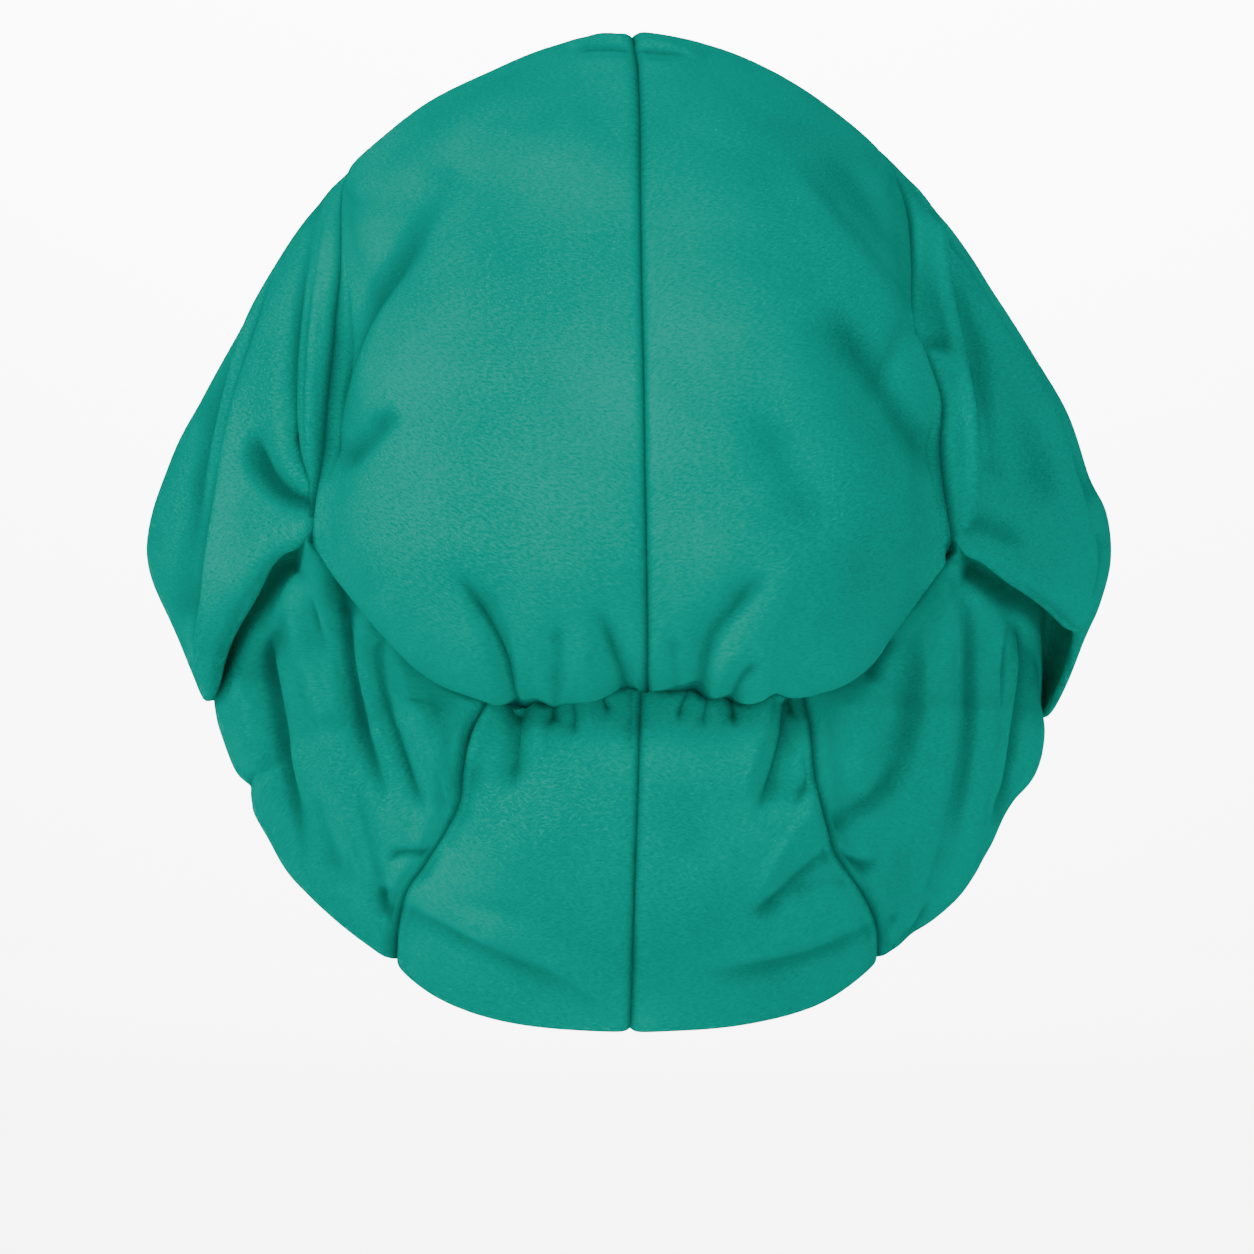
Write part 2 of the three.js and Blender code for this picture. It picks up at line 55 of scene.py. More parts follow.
camera.location = (
    (FRAME_PIXELS / 2 - CENTRE_COLUMN) / PIXELS_PER_MM / 1000,
    FRAME_PLACE - CAMERA_DISTANCE,
    ((NAPE_HEM_ROW - FRAME_PIXELS / 2) / PIXELS_PER_MM - OPENING_HEIGHT) / 1000,
)
camera.rotation_euler = (math.pi / 2, 0, 0)
bpy.context.collection.objects.link(camera)
bpy.context.scene.camera = camera


# Back panels: the upper back in two halves of soft brushed cloth, cut full and sewn down the centre.
# Their lower edge is gathered along the elastic, so they swell out into a pouch and hang over it.
# Lengths are millimetres, heights are above the nape hem, and turns are degrees round from the back.
LEFT, RIGHT = -1, 1
SIDE_NAME = {LEFT: "left", RIGHT: "right"}
CROWN_HEIGHT = 250.0
CROWN_SETBACK = 35.5  # of the crown and of the full sections' middles behind the origin
CLOTH_THICKNESS = 1.1

# Level sections of the full upper cap: half widths, and how far they reach from their middle
UPPER = {
    "height": [250, 247.6, 242, 230, 212, 190, 165, 140, 120, 100, 80, 65],
    "left": [0, 16, 32.5, 53.5, 73.3, 91, 105, 115.4, 121.8, 114.4, 105.6, 99],
    "right": [0, 17, 31.5, 51, 70.5, 89, 103.8, 115.0, 120.4, 115.0, 106.5, 99],
    "back": [0, 14, 29, 50, 70, 87, 100, 107, 108, 106, 103, 101],
    "front": [0, 16, 32, 62, 88, 107, 119, 124, 124, 120, 115, 110],
}

# Level sections of the closer lower cap. centre is how far their middle lies behind the origin.
LOWER = {
    "height": [140, 110, 95, 80, 67.5, 55, 40, 27.5, 15, 0],
    "left": [105, 105, 104, 104, 100, 94, 87, 80, 71, 61],
    "right": [103, 103, 103, 103.5, 102.5, 97, 87, 80, 72, 61],
    "back": [101, 100, 92, 86, 87, 88, 88, 83, 74, 65],
    "front": [124, 120, 116, 111, 105, 96, 85, 78, 70, 63],
    "centre": [36, 36, 35.3, 33.8, 31.3, 27.7, 22.7, 20.2, 17.3, 15.1],
}

# The seam between a back and a side panel: its turn at each height
SIDE_SEAM = {
    "height": [250, 247.6, 242, 230, 219, 212, 202, 190, 175, 168, 157, 145, 133, 121],
    "left": [104, 104, 102, 97, 90, 74, 61, 52.5, 47.7, 46, 44, 42.2, 41, 39.9],
    "right": [104, 104, 102, 95, 82.5, 71, 60.6, 51.8, 44.6, 45.2, 45.6, 43.0, 41.6, 41.3],
}
PINCH_HEIGHT = {LEFT: 122.0, RIGHT: 119.5}  # where the side drape is caught in the seam
ELASTIC_CORNER = {LEFT: (35.0, 83.2), RIGHT: (43.0, 84.8)}  # out and up
GATHERED_HEIGHT = {  # of the line at even steps out from the centre back
    LEFT: [85.8, 86.0, 85.6, 85.0, 84.2, 83.0, 81.4, 82.9, 81.6, 82.6, 83.2],
    RIGHT: [86.4, 85.8, 85.2, 85.6, 83.4, 83.8, 82.4, 83.2, 85.4, 84.4, 84.8],
}
UNDER_SEAM = {  # the seam under the pouch: shares of its way inward and down, and how far it lies forward
    "inward": [0, 0.16, 0.42, 0.70, 1.0],
    "down": [0, 0.27, 0.58, 0.86, 1.0],
    "forward": [0, 5.0, 8.0, 5.5, 0],
}


def along(column, place):
    """A smooth curve through a table's column, read at places counted in entries."""
    column = np.asarray(column, float)
    last = len(column) - 1
    padded = np.concatenate([[2 * column[0] - column[1]], column, [2 * column[-1] - column[-2]]])
    place = np.asarray(place, float)
    i = np.clip(np.floor(place).astype(int), 0, last - 1)
    before, start, end, after = (padded[i + n] for n in range(4))
    t = place - i
    bend = 2 * before - 5 * start + 4 * end - after
    twist = 3 * (start - end) + after - before
    return start + 0.5 * t * (end - before + t * (bend + t * twist))


def place_of(column, value, samples=3000):
    """The places at which a steadily rising or falling column has these values."""
    places = np.linspace(0, len(column) - 1, samples)
    read = along(column, places)
    if column[0] > column[-1]:
        return np.interp(-np.asarray(value, float), -read, places)
    return np.interp(value, read, places)


def look_up(table, key, value, column):
    """One column of a table where another, its key, has these values."""
    return along(table[column], place_of(table[key], value))


def ease(t):
    t = np.clip(t, 0, 1)
    return t * t * (3 - 2 * t)


def lerp(a, b, t):
    return a + (b - a) * t


def on_section(half, back, front, centre, height, turn, side):
    """Points of a level section, which is half an oval behind its middle and half another in front."""
    half, back, front, centre, height, turn = np.broadcast_arrays(half, back, front, centre, height, turn)
    around = np.radians(turn)
    reach = np.where(turn < 90, back, front)
    return np.stack([side * half * np.sin(around), -centre - reach * np.cos(around), height], axis=-1)


def on_upper(height, turn, side):
    place = place_of(UPPER["height"], height)
    half, back, front = (along(UPPER[key], place) for key in (SIDE_NAME[side], "back", "front"))
    return on_section(half, back, front, CROWN_SETBACK, height, turn, side)


def on_lower(height, turn, side):
    place = place_of(LOWER["height"], height)
    keys = (SIDE_NAME[side], "back", "front", "centre")
    half, back, front, centre = (along(LOWER[key], place) for key in keys)
    return on_section(half, back, front, centre, height, turn, side)


def lower_turn(height, out, side):
    """The turn at which the lower cap's back lies this far out."""
    half = look_up(LOWER, "height", height, SIDE_NAME[side])
    return np.degrees(np.arcsin(np.clip(np.abs(out) / half, 0, 1)))


def side_seam(share, side):
    """The seam from crown (0) to pinch (1): its points and turns."""
    last = place_of(UPPER["height"], PINCH_HEIGHT[side])
    height = along(UPPER["height"], np.asarray(share, float) * last)
    turn = look_up(SIDE_SEAM, "height", height, SIDE_NAME[side])
    return on_upper(height, turn, side), turn


def elastic_line(share, side):
    """The gathered line from the centre back (0) to its corner (1)."""
    share = np.asarray(share, float)
    out = ELASTIC_CORNER[side][0]
    height = along(GATHERED_HEIGHT[side], share * (len(GATHERED_HEIGHT[side]) - 1))
    return on_lower(height, lower_turn(height, out * share, side), side)


def under_seam(share, side):
    """The seam hidden under the pouch, from the pinch (0) to the elastic's corner (1)."""
    pinch = side_seam(1.0, side)[0]
    corner = elastic_line(1.0, side)
    last = len(UNDER_SEAM["inward"]) - 1
    place = np.asarray(share, float) * last
    return np.stack([
        lerp(pinch[0], corner[0], along(UNDER_SEAM["inward"], place)),
        lerp(pinch[1], corner[1], place / last) + along(UNDER_SEAM["forward"], place),
        lerp(pinch[2], corner[2], along(UNDER_SEAM["down"], place)),
    ], axis=-1)


def shares(count, first, last):
    """Shares from 0 to 1 whose steps start at first and end at last times the middle step."""
    t = np.linspace(0, 1, count)
    pace = 14  # the steps widen within about a fourteenth of the way from each end
    step = 1 - (1 - first) * np.exp(-t * pace) - (1 - last) * np.exp(-(1 - t) * pace)
    run = np.concatenate([[0], np.cumsum((step[1:] + step[:-1]) / 2)])
    return run / run[-1]


SEAM_WANDER = {  # how far the centre seam strays to the right
    "back_height": [250, 240, 225, 200, 157, 117, 85],
    "back": [0.6, 1.9, 2.5, 2.7, 3.5, 4.0, 4.3],
    "nape_height": [84, 62, 32, 0],
    "nape": [2.8, 2.0, 1.0, 0.0],
}


def stray(points, across, panel):
    """Moves a panel's points over with the centre seam, and less the nearer they are to the side."""
    height = np.clip(points[..., 2], 0, CROWN_HEIGHT)
    shift = look_up(SEAM_WANDER, f"{panel}_height", height, panel) * (1 - across) ** 2
    return points + shift[..., None] * [1, 0, 0]


def run_length(points, axis):
    """Distance along the grid from its first line, and back from its last."""
    step = np.linalg.norm(np.diff(points, axis=axis), axis=-1)
    start = np.zeros_like(np.take(step, [0], axis=axis))
    run = np.concatenate([start, np.cumsum(step, axis=axis)], axis=axis)
    return run, np.take(run, [-1], axis=axis) - run


def facing(points, outward):
    """The way each point of a grid faces. The first row may be a single point."""
    across = np.gradient(points, axis=1)
    down = np.gradient(points, axis=0)
    normal = np.cross(across, down) * outward
    normal[0] = normal[1]
    return normal / np.maximum(np.linalg.norm(normal, axis=-1, keepdims=True), 1e-9)


def smooth(points, times):
    """Evens out the steps between neighbouring rows and columns, with the edges held."""
    for _ in range(times):
        points = points.copy()
        points[1:-1] = (points[:-2] + 2 * points[1:-1] + points[2:]) / 4
        points[:, 1:-1] = (points[:, :-2] + 2 * points[:, 1:-1] + points[:, 2:]) / 4
    return points


def seen_from_behind(points):
    """Where points show in the photograph, in its pixels."""
    return np.stack([
        CENTRE_COLUMN + points[..., 0] * PIXELS_PER_MM,
        NAPE_HEM_ROW - points[..., 2] * PIXELS_PER_MM,
    ], axis=-1)


FOLD_STEPS = 40  # points that a fold's line is read at
FOLD_REACH = 3  # half widths round a fold's line, past which it has no height
FOLD_RISE = 0.35  # share of its length over which a fold rises from each end to its full height
CREST_POWER, HOLLOW_POWER = 1.2, 1.7  # of a fold's slope, so that crests are crisper than hollows


def fold(spots, line, left, right, high, start=0.0, end=0.0):
    """The height in millimetres of one fold at spots in the photograph. line holds the pixels that
    it runs through. left and right are its half widths in pixels on either hand going along it,
    and start and end are the share of its height that it has at its two ends."""
    line = np.asarray(line, float)
    fine = np.linspace(0, len(line) - 1, FOLD_STEPS)
    path = np.stack([along(line[:, 0], fine), along(line[:, 1], fine)], axis=-1)
    box = max(left, right) * FOLD_REACH
    near = np.all((spots > path.min(0) - box) & (spots < path.max(0) + box), axis=-1)
    lift = np.zeros(spots.shape[:-1])
    if not near.any():
        return lift
    here = spots[near][:, None]
    begin = path[:-1]
    way = path[1:] - begin
    t = np.einsum("nkd,kd->nk", here - begin, way) / np.maximum((way**2).sum(-1), 1e-9)
    t = np.clip(t, 0, 1)
    gap = here - (begin + t[..., None] * way)
    distance = np.linalg.norm(gap, axis=-1)
    k = distance.argmin(1)
    n = np.arange(len(k))
    hand = way[k, 0] * gap[n, k, 1] - way[k, 1] * gap[n, k, 0]
    off = hand / np.maximum(np.linalg.norm(way[k], axis=-1), 1e-9)
    width = lerp(left, right, ease(0.5 + off / (0.5 * left + 0.5 * right)))
    place = (k + t[n, k]) / (len(path) - 1)
    strength = lerp(start, 1, ease(place / FOLD_RISE)) * lerp(end, 1, ease((1 - place) / FOLD_RISE))
    power = CREST_POWER if high > 0 else HOLLOW_POWER
    lift[near] = high * strength * np.exp(-((distance[n, k] / width) ** power))
    return lift


def folded(points, normal, folds, share=1.0):
    """The height of a panel's folds, each one where it shows once the cloth is lifted."""
    lift = np.zeros(points.shape[:-1])
    for _ in range(2):  # first on the bare form, then on the lifted cloth
        spots = seen_from_behind(points + normal * smooth(lift[..., None], 8))
        lift = sum(fold(spots, *row) for row in folds) * share
    return lift


def ripple(points, length, seed):
    """A gentle unevenness of height about 1 over a grid, with no direction of its own."""
    random = np.random.default_rng(seed)
    total = np.zeros(points.shape[:-1])
    for _ in range(14):
        way = random.normal(size=3)
        way /= np.linalg.norm(way)
        wave = points @ way * (2 * math.pi / length) * random.uniform(0.6, 1.6)
        phase = random.uniform(0, 6.28)
        total += np.sin(wave + phase)
    return total / 4


DEEPEST_PAINTED_SHADE, BRIGHTEST_PAINTED_HIGHLIGHT = 1.6, 0.9  # the most painted shade that a fold's trough gets, and the most painted highlight on its crest
PAINTED_SEAM_SHADE = 2.9  # how much painted shade a seam's groove gets
PAINTED_SEAM_SHADE_WIDTH = 1.1  # how wide that painted shade reaches


def hollows(lift, seam_distance):
    """How much painted shading each point gets from how deep it lies among its neighbours: painted shade
    of about 1 in a deep fold, more along a seam, and below 0, a painted highlight, on a crest."""
    crease, even, broad = (smooth(lift[..., None], times)[..., 0] for times in (6, 40, 160))
    hollow = (crease - lift) * 2.0 + (even - lift) / 2.0 + (broad - lift) / 5.0
    most = np.where(hollow > 0, DEEPEST_PAINTED_SHADE, BRIGHTEST_PAINTED_HIGHLIGHT)
    hollow = most * np.tanh(hollow / most)
    return np.maximum(hollow, PAINTED_SEAM_SHADE * np.exp(-((seam_distance / PAINTED_SEAM_SHADE_WIDTH) ** 2)))


# The cloth is emerald poly-cotton with a brushed face. Its fine crepe runs in wavering slanting lines.
CLOTH_COLOUR = (0.0, 0.36, 0.27)
DARK_THREAD, LIGHT_THREAD = 0.78, 1.2  # shares of that colour
LIGHT_THREAD_RED = 0.004
PAINTED_SHADE_STRENGTH = 0.30  # how much darker painted shading of 1 makes the cloth; below 0 it paints a highlight
CREPE_SLANT = math.radians(34)
CREPE_STRETCH = (1.0, 2.5, 1.0)  # its grains are two and a half times as long as wide
CREPE_DRIFT = (0.006, 0.006, 0.0)  # metres that its lines waver at most
CREPE_SIZE, NAP_SIZE, WORN_SIZE, DRIFT_SIZE = 760.0, 2600.0, 22.0, 38.0  # noise scales, a metre


class Signal:
    """A shader socket that Python's operators can be used on."""

    def __init__(self, tree, socket=None):
        self.tree = tree
        self.socket = socket

    def node(self, kind, output=0, settings=None, **inputs):
        """The output of a new node. Its sockets go by name, or as i0, i1 and so on by number."""
        made = self.tree.nodes.new(kind)
        for key, value in (settings or {}).items():
            if key == "stops":
                while len(made.color_ramp.elements) < len(value):
                    made.color_ramp.elements.new(0.5)
                for stop, (position, colour) in zip(made.color_ramp.elements, value):
                    stop.position = position
                    stop.color = colour
            else:
                setattr(made, key, value)
        for key, value in inputs.items():
            numbered = key[0] == "i" and key[1:].isdigit()
            socket = made.inputs[int(key[1:]) if numbered else key.replace("_", " ")]
            if isinstance(value, Signal):
                value.into(socket)
            else:
                socket.default_value = value
        return Signal(self.tree, made.outputs[output])

    def into(self, socket):
        self.tree.links.new(self.socket, socket)

    def maths(self, operation, a, b):
        return self.node("ShaderNodeMath", settings={"operation": operation}, i0=a, i1=b)

    def __add__(self, other):
        return self.maths("ADD", self, other)

    __radd__ = __add__

    def __mul__(self, other):
        return self.maths("MULTIPLY", self, other)

    __rmul__ = __mul__

    def __sub__(self, other):
        return self.maths("SUBTRACT", self, other)

    def __rsub__(self, other):
        return self.maths("SUBTRACT", other, self)


def brushed_cloth():
    material = bpy.data.materials.new("brushed_cloth")
    material.use_nodes = True
    face = Signal(material.node_tree)
    grain = face.node("ShaderNodeUVMap", "UV", {"uv_map": "grain"})
    place = face.node("ShaderNodeTexCoord", "Object")
    drift = face.node("ShaderNodeTexNoise", "Color", Vector=place, Scale=DRIFT_SIZE, Detail=2.0)
    bent = face.node("ShaderNodeVectorMath", "Vector", {"operation": "MULTIPLY_ADD"},
                     i0=drift, i1=CREPE_DRIFT, i2=grain)
    laid = face.node("ShaderNodeMapping", "Vector",
                     Vector=bent, Rotation=(0, 0, CREPE_SLANT), Scale=CREPE_STRETCH)
    crepe = face.node("ShaderNodeTexNoise", "Fac", Vector=laid, Scale=CREPE_SIZE, Detail=4.0, Roughness=0.62)
    nap = face.node("ShaderNodeTexNoise", "Fac", Vector=place, Scale=NAP_SIZE, Detail=2.0)
    worn = face.node("ShaderNodeTexNoise", "Fac", Vector=place, Scale=WORN_SIZE, Detail=3.0)
    tone = crepe * 0.52 + nap * 0.20 + worn * 0.28
    dark = (0.0, CLOTH_COLOUR[1] * DARK_THREAD, CLOTH_COLOUR[2] * DARK_THREAD, 1)
    light = (LIGHT_THREAD_RED, CLOTH_COLOUR[1] * LIGHT_THREAD, CLOTH_COLOUR[2] * LIGHT_THREAD, 1)
    threads = [(0.36, dark), (0.50, (*CLOTH_COLOUR, 1)), (0.66, light)]
    colour = face.node("ShaderNodeValToRGB", "Color", {"stops": threads}, Fac=tone)
    # The painted shade of fold troughs, seams and stitches, and the painted highlight of crests, darken and
    # lighten the cloth's colour here
    hollow = face.node("ShaderNodeAttribute", "Fac", {"attribute_name": "hollow"})
    shade = 1.0 - hollow * PAINTED_SHADE_STRENGTH
    shaded = face.node("ShaderNodeVectorMath", "Vector", {"operation": "SCALE"}, i0=colour, Scale=shade)
    weave = crepe * 0.8 + nap * 0.2
    bump = face.node("ShaderNodeBump", "Normal", Height=weave, Strength=0.9, Distance=0.0005)
    shader = material.node_tree.nodes["Principled BSDF"]
    shaded.into(shader.inputs["Base Color"])
    bump.into(shader.inputs["Normal"])
    shader.inputs["Roughness"].default_value = 0.82
    shader.inputs["Specular IOR Level"].default_value = 0.0
    return material


cloth = brushed_cloth()


def cloth_piece(name, points, outward, hollow):
    """Sews a grid of points into one piece of cloth, with the cloth's own lengths kept for the grain."""
    rows, columns = points.shape[:2]
    across = run_length(points, 1)[0]
    down = run_length(points, 0)[0]
    mesh = bpy.data.meshes.new(name)
    ids = np.arange(rows * columns).reshape(rows, columns)
    a, b, c, d = ids[:-1, :-1], ids[1:, :-1], ids[1:, 1:], ids[:-1, 1:]
    quads = np.stack([a, b, c, d] if outward > 0 else [a, d, c, b], axis=-1).reshape(-1, 4)
    world = points * 0.001 - np.array([0, 0, OPENING_HEIGHT / 1000])
    mesh.from_pydata(world.reshape(-1, 3).tolist(), [], quads.tolist())
    grain = mesh.uv_layers.new(name="grain")
    corner = np.array([loop.vertex_index for loop in mesh.loops])
    lengths = np.stack([across.reshape(-1), down.reshape(-1)], axis=-1)[corner] * 0.001
    grain.data.foreach_set("uv", lengths.astype(np.float32).reshape(-1))
    # Each point keeps its painted shading: the shade of folds, seams and stitches, and the highlight of
    # crests
    shade = mesh.attributes.new("hollow", "FLOAT", "POINT")
    shade.data.foreach_set("value", hollow.reshape(-1).astype(np.float32))
    mesh.polygons.foreach_set("use_smooth", [True] * len(mesh.polygons))
    mesh.materials.append(cloth)
    piece = bpy.data.objects.new(name, mesh)
    bpy.context.collection.objects.link(piece)
    wall = piece.modifiers.new("wall", "SOLIDIFY")
    wall.thickness = CLOTH_THICKNESS / 1000
    wall.offset = -1.0
    return piece


SEAM_DEPTH = 3.0  # how far cloth turns in at a seam
SEAM_WIDTH = 0.8  # how wide the groove beside it is
UNDER_DEPTH = 3.5  # how much further it turns in under the pouch
PINCH_REACH = 4.0
PINCH_SHARE = 0.65  # how much shallower seams are at the pinch


def turned_in(points, distance, depth=SEAM_DEPTH, width=SEAM_WIDTH, pinch=None):
    """Cloth turns in beside a seam, towards the middle of the cap, so that both pieces meet below the
    surface. It turns in less round a pinch, where the two seams and the drape are caught together."""
    if pinch is not None:
        near_pinch = np.exp(-((np.linalg.norm(points - pinch, axis=-1) / PINCH_REACH) ** 2))
        depth = depth * (1 - PINCH_SHARE * near_pinch)
    level = np.clip(points[..., 2], 60, 150)  # level with the point, but not above or below the full cap
    out = points - np.stack([0 * level, 0 * level - CROWN_SETBACK, level], axis=-1)
    out /= np.maximum(np.linalg.norm(out, axis=-1, keepdims=True), 1e-6)
    return out * (-depth * np.exp(-distance / width))[..., None]


def under_depth(share):
    """How far both pieces turn in at the seam under the pouch."""
    return SEAM_DEPTH + UNDER_DEPTH * np.sin(math.pi * np.clip(share, 0, 1))


# The back panels' folds, a row for each: the pixels that it runs through, its half widths on the two
# hands, its height, and the share of that at its two ends.
BACK_FOLDS = {
    LEFT: [
        ([(446, 190), (412, 262), (372, 322), (350, 390), (338, 450)], 26, 34, -6.4, 0.2, 0.7),
        ([(405, 402), (380, 446), (344, 480)], 17, 24, -3.3, 0.1, 0.4),
        ([(425, 330), (400, 372), (372, 408)], 24, 20, 1.3, 0.0, 0.2),
        ([(455, 560), (487, 612), (508, 655), (519, 696)], 22, 9, -4.6, 0.0, 1.0),
        ([(520, 600), (524, 645), (524, 672), (527, 699)], 9, 8, 1.6, 0.0, 1.0),
        ([(596, 590), (611, 640), (622, 668), (627, 688)], 15, 11, -3.0, 0.0, 1.0),
        ([(558, 610), (560, 650), (556, 700)], 12, 12, -1.3, 0.0, 1.0),
        ([(582, 620), (588, 660), (592, 692)], 12, 12, 1.2, 0.0, 0.8),
        ([(575, 62), (600, 63), (641, 63)], 5, 12, 1.3, 0.1, 1.0),
        ([(570, 55), (600, 52), (632, 53)], 9, 9, -1.8, 0.2, 1.0),
        ([(560, 52), (582, 43), (604, 36), (628, 38)], 6, 8, 1.8, 0.1, 1.0),
        ([(370, 560), (420, 605), (470, 645), (500, 690)], 34, 26, 1.8, 0.2, 0.4),
        ([(600, 130), (560, 150), (500, 190)], 20, 20, 0.9, 0.0, 0.0),
    ],
    RIGHT: [
        ([(775, 555), (737, 598), (708, 640), (699, 690)], 18, 20, -3.6, 0.0, 0.9),
        ([(762, 655), (745, 668), (735, 682), (731, 697)], 9, 10, -2.2, 0.0, 1.0),
        ([(748, 640), (725, 662), (716, 690)], 10, 9, 1.2, 0.0, 0.8),
        ([(672, 620), (672, 655), (676, 690)], 12, 12, -1.4, 0.0, 1.0),
        ([(815, 300), (852, 362), (898, 430), (943, 490)], 34, 34, -4.8, 0.1, 0.6),
        ([(775, 160), (828, 226), (882, 295), (914, 337)], 10, 42, 2.9, 0.2, 0.7),
        ([(812, 140), (862, 210), (902, 290)], 24, 26, -1.7, 0.2, 0.4),
        ([(744, 400), (782, 478), (815, 560)], 34, 30, -1.8, 0.0, 0.0),
        ([(700, 330), (725, 420), (735, 500)], 30, 30, 0.9, 0.0, 0.0),
        ([(643, 61), (665, 66), (700, 61)], 5, 12, 1.3, 1.0, 0.1),
        ([(640, 52), (670, 53), (700, 56)], 8, 9, -1.8, 1.0, 0.2),
        ([(642, 41), (662, 44), (685, 51), (704, 61)], 6, 8, 1.8, 1.0, 0.1),
        ([(800, 690), (845, 665), (885, 640)], 20, 16, 1.4, 0.2, 0.2),
    ],
}
STITCH = 2.6  # length of a stitch, where the thread pulls the centre seam in below the crown
STITCHED_HEIGHT, STITCHED_REACH = 222, 15  # where stitches show, and how far above and below
# The painted shade of the dimples at the stitches, and how far it reaches from the centre seam
STITCH_PAINTED_SHADE, STITCH_WIDTH = 1.9, 1.7
POUCH_SWELL = 11.0  # how far the pouch stands out over the elastic
POUCH_PUFF = 3.6  # and more half way to the side
POUCH_SAG = 3.6  # how far it hangs below the elastic
CURL_POWER = 8  # the higher, the nearer to its lower edge the pouch curls under
CORNER_SHARE = 0.46  # the under seam's share of the lower edge
UNDER_REACH = 12  # how near that seam the cloth turns in further
STRAY_REACH = 70  # how far out the panels stray with the centre seam
FLAT_AT_SEAM = 3.0  # folds flatten out this near a seam
FLAT_AT_GATHERS = 1.5  # and this near the elastic
BACK_ROWS, BACK_COLUMNS = 298, 154


def back_panel(side):
    pinch = side_seam(1.0, side)[0]

    def lower_edge(q):
        under = under_seam(np.clip(q / CORNER_SHARE, 0, 1), side)
        gathered = elastic_line(np.clip((1 - q) / (1 - CORNER_SHARE), 0, 1), side)
        return np.where((q < CORNER_SHARE)[..., None], under, gathered)

    def full_form(share, q):
        """The swollen panel before its lower edge curls under, how far down it is, and that edge."""
        seam, seam_turn = side_seam(share, side)
        down = (CROWN_HEIGHT - seam[..., 2]) / (CROWN_HEIGHT - pinch[2])
        edge = lower_edge(q)
        across = 1 - np.abs(edge[..., 0]) / abs(pinch[0])
        lowest = lerp(pinch[2], edge[..., 2], ease(across * 3)) - POUCH_SAG * ease(across * 4)
        height = lerp(CROWN_HEIGHT, lowest, down)
        point = on_upper(height, seam_turn * (1 - across), side)
        out = point * [1, 1, 0] + [0, CROWN_SETBACK, 0]
        out /= np.maximum(np.linalg.norm(out, axis=-1, keepdims=True), 1e-6)
        swell = POUCH_SWELL * np.sin(across * math.pi / 2) + POUCH_PUFF * np.sin(across * math.pi)
        return point + out * (swell * ease(down * 1.4))[..., None], down, edge

    def surface(share, q):
        share, q = np.broadcast_arrays(share, q)
        point, down, edge = full_form(share, q)
        curl = edge - full_form(np.ones_like(share), q)[0]
        return point + curl * (1 - np.sqrt(np.clip(1 - down**CURL_POWER, 0, 1)))[..., None]

    # Rows lie evenly down the middle of the panel, and closer where it curls under.
    trial = 1 - (1 - np.linspace(0, 1, 3000)) ** 3
    run = run_length(surface(trial[:, None], np.array([[0.75]])), 0)[0][:, 0]
    rows = np.interp(shares(BACK_ROWS, 0.6, 0.4) * run[-1], run, trial)
    columns = shares(BACK_COLUMNS, 0.22, 0.22)
    points = surface(rows[:, None], columns[None, :])
    points = stray(points, np.clip(np.abs(points[..., 0]) / STRAY_REACH, 0, 1), "back")
    normal = facing(smooth(points, 4), side)
    lift = folded(points, normal, BACK_FOLDS[side])
    lift += 0.35 * ripple(points, length=46, seed=3 + side)
    from_side, from_centre = run_length(points, 1)
    from_crown, from_hem = run_length(points, 0)
    nearest = np.minimum(np.minimum(from_side, from_centre), from_hem)
    lift *= ease(np.minimum(from_side, from_centre) / FLAT_AT_SEAM) * ease(from_hem / FLAT_AT_GATHERS)
    lift = smooth(lift[..., None], 3)[..., 0]
    # Painted shade in the folds' troughs and along the seams, and painted highlight on the crests
    hollow = hollows(lift, nearest)
    # The stitches are painted shade only, for the dimples that the thread pulls in; the cloth isn't dimpled
    # there
    stitched = np.sin(from_crown * (2 * math.pi / STITCH)) > 0.3
    stitched = stitched * (np.abs(points[..., 2] - STITCHED_HEIGHT) < STITCHED_REACH)
    hollow = np.maximum(hollow, STITCH_PAINTED_SHADE * stitched * np.exp(-((from_centre / STITCH_WIDTH) ** 2)))
    under = (from_hem < UNDER_REACH) * (columns[None, :] < CORNER_SHARE)
    depth = np.where(under, under_depth(columns[None, :] / CORNER_SHARE), SEAM_DEPTH)
    points = points + normal * lift[..., None] + turned_in(points, nearest, depth, pinch=pinch)
    return cloth_piece(f"back_panel_{SIDE_NAME[side]}_cloth", points, side, hollow)


for side in (LEFT, RIGHT):
    panel = back_panel(side)
    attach(panel, "root")
    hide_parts(f"back_panel_{SIDE_NAME[side]}")


# Nape panels: the close lower back in two halves of the same cloth, under the elastic.
# Their upper edge is eased onto the elastic in small pleats, and their lower edge is a turned hem.
NAPE_CORNER = {LEFT: (58.7, 17.0), RIGHT: (62.3, 17.4)}  # the hem's corner, out and up
NAPE_ROWS, NAPE_COLUMNS = 134, 112
FLAT_AT_PLEATS = 1.2  # folds flatten out this near the elastic
HEM_ROUND = 0.7  # the turned hem rounds in by a millimetre within about this much of its edge
NAPE_SEAM = {  # the seam to the side panel: shares of its way down and out
    "down": [0, 0.12, 0.26, 0.38, 0.49, 0.61, 0.73, 0.86, 1.0],
    "left": [0, 0.17, 0.27, 0.31, 0.45, 0.66, 0.88, 0.97, 1.0],
    "right": [0, 0.08, 0.14, 0.20, 0.30, 0.45, 0.74, 0.97, 1.0],
}
